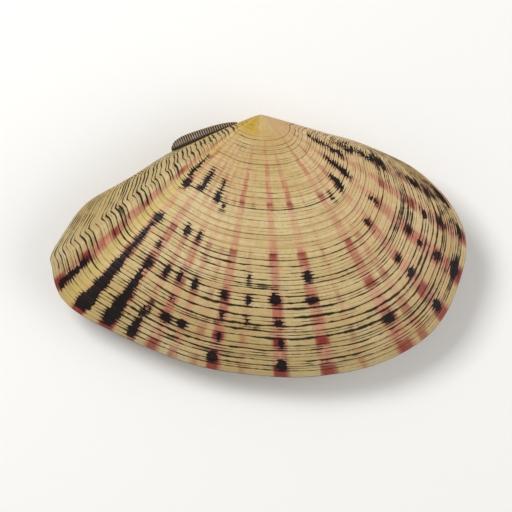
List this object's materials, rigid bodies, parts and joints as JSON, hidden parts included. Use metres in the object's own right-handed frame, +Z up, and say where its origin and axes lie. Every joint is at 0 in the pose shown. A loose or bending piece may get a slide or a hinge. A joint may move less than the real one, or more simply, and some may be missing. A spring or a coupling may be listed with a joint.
{
  "type": "bivalve shell",
  "caption": "Closed rayed bivalve shell lying on one valve, with fine growth ridges, a ridged pointed rear end and a dark ligament band.",
  "frame": {"origin": "centre of the footprint, on the surface that the shell lies on", "axes": "+X towards the shell's front end, +Y towards the beaks, +Z up through the right valve"},
  "size_m": [0.0649, 0.0411, 0.017],
  "materials": {
    "shell_upper": "satin cream and tan shell with pink-red rays and dark growth lines",
    "shell_lower": "satin cream and tan shell with pink-red rays and dark growth lines",
    "ligament": "dark brown horny band with pale cross lines"
  },
  "bodies": {
    "root": {"right_valve": "shell_upper", "left_valve": "shell_lower", "ligament": "ligament"}
  },
  "joints": []
}
